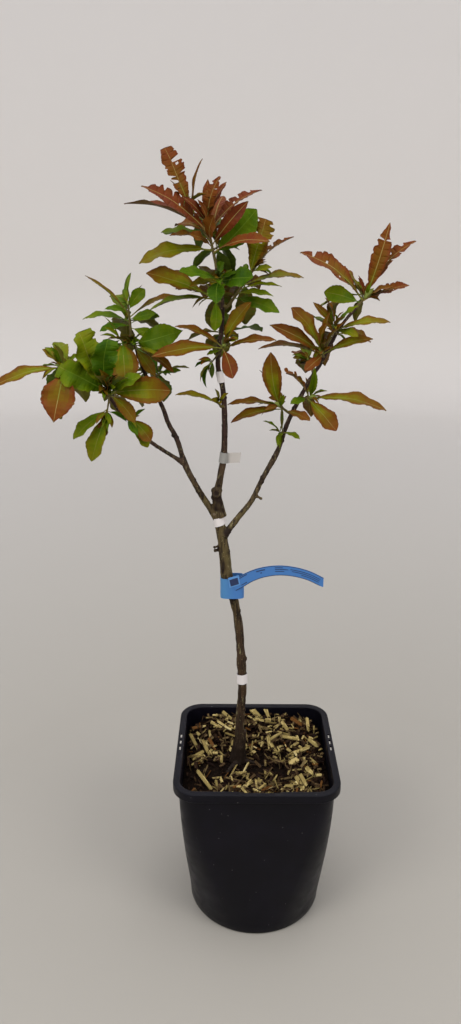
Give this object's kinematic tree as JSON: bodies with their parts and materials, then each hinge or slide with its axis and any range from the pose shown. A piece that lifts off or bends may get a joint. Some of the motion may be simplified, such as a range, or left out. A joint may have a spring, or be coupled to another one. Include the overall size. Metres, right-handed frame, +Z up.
{
  "type": "potted medlar tree",
  "caption": "Young grafted medlar in a square black nursery pot: a slender stem, upswept boughs and whorls of long leaves, bronze-red at the tips.",
  "frame": {"origin": "middle of the pot's flat underside", "axes": "+Z up the stem, +X to the viewer's right in the picture, the picture's front is -Y"},
  "size_m": [0.4269, 0.2015, 0.8838],
  "materials": {
    "pot_plastic": "black injection-moulded polypropylene, slightly dusty",
    "soil": "moist dark peat potting soil",
    "straw": "loose chopped straw and fine wood chips",
    "bark": "olive-brown young bark with pale lenticels and rough nodes",
    "leaves": "soft matt leaves, green to bronze-red",
    "tie_tape": "white stretch tying tape",
    "label_plastic": "blue synthetic loop label, blank"
  },
  "bodies": {
    "root": {"fork_tie": "tie_tape", "leader_back_foliage": "leaves", "leader_front_foliage": "leaves", "leader_left_foliage": "leaves", "leader_low_back_foliage": "leaves", "leader_low_foliage": "leaves", "leader_right_foliage": "leaves", "leader_spur_foliage": "leaves", "leader_tip_foliage": "leaves", "left_back_foliage": "leaves", "left_bough": "bark", "left_high_foliage": "leaves", "left_high_tip_foliage": "leaves", "left_low_back_foliage": "leaves", "left_low_bough": "bark", "left_low_foliage": "leaves", "left_outer_foliage": "leaves", "left_under_foliage": "leaves", "loop_label": "label_plastic", "lower_tie": "tie_tape", "middle_tie": "tie_tape", "pot": "pot_plastic", "potting_soil": "soil", "right_back_foliage": "leaves", "right_bough": "bark", "right_foot_foliage": "leaves", "right_high_foliage": "leaves", "right_low_foliage": "leaves", "right_mid_foliage": "leaves", "right_tip_foliage": "leaves", "right_upper_back_foliage": "leaves", "right_upper_foliage": "leaves", "straw_mulch": "straw", "trunk": "bark", "upper_tie": "tie_tape"}
  },
  "joints": []
}
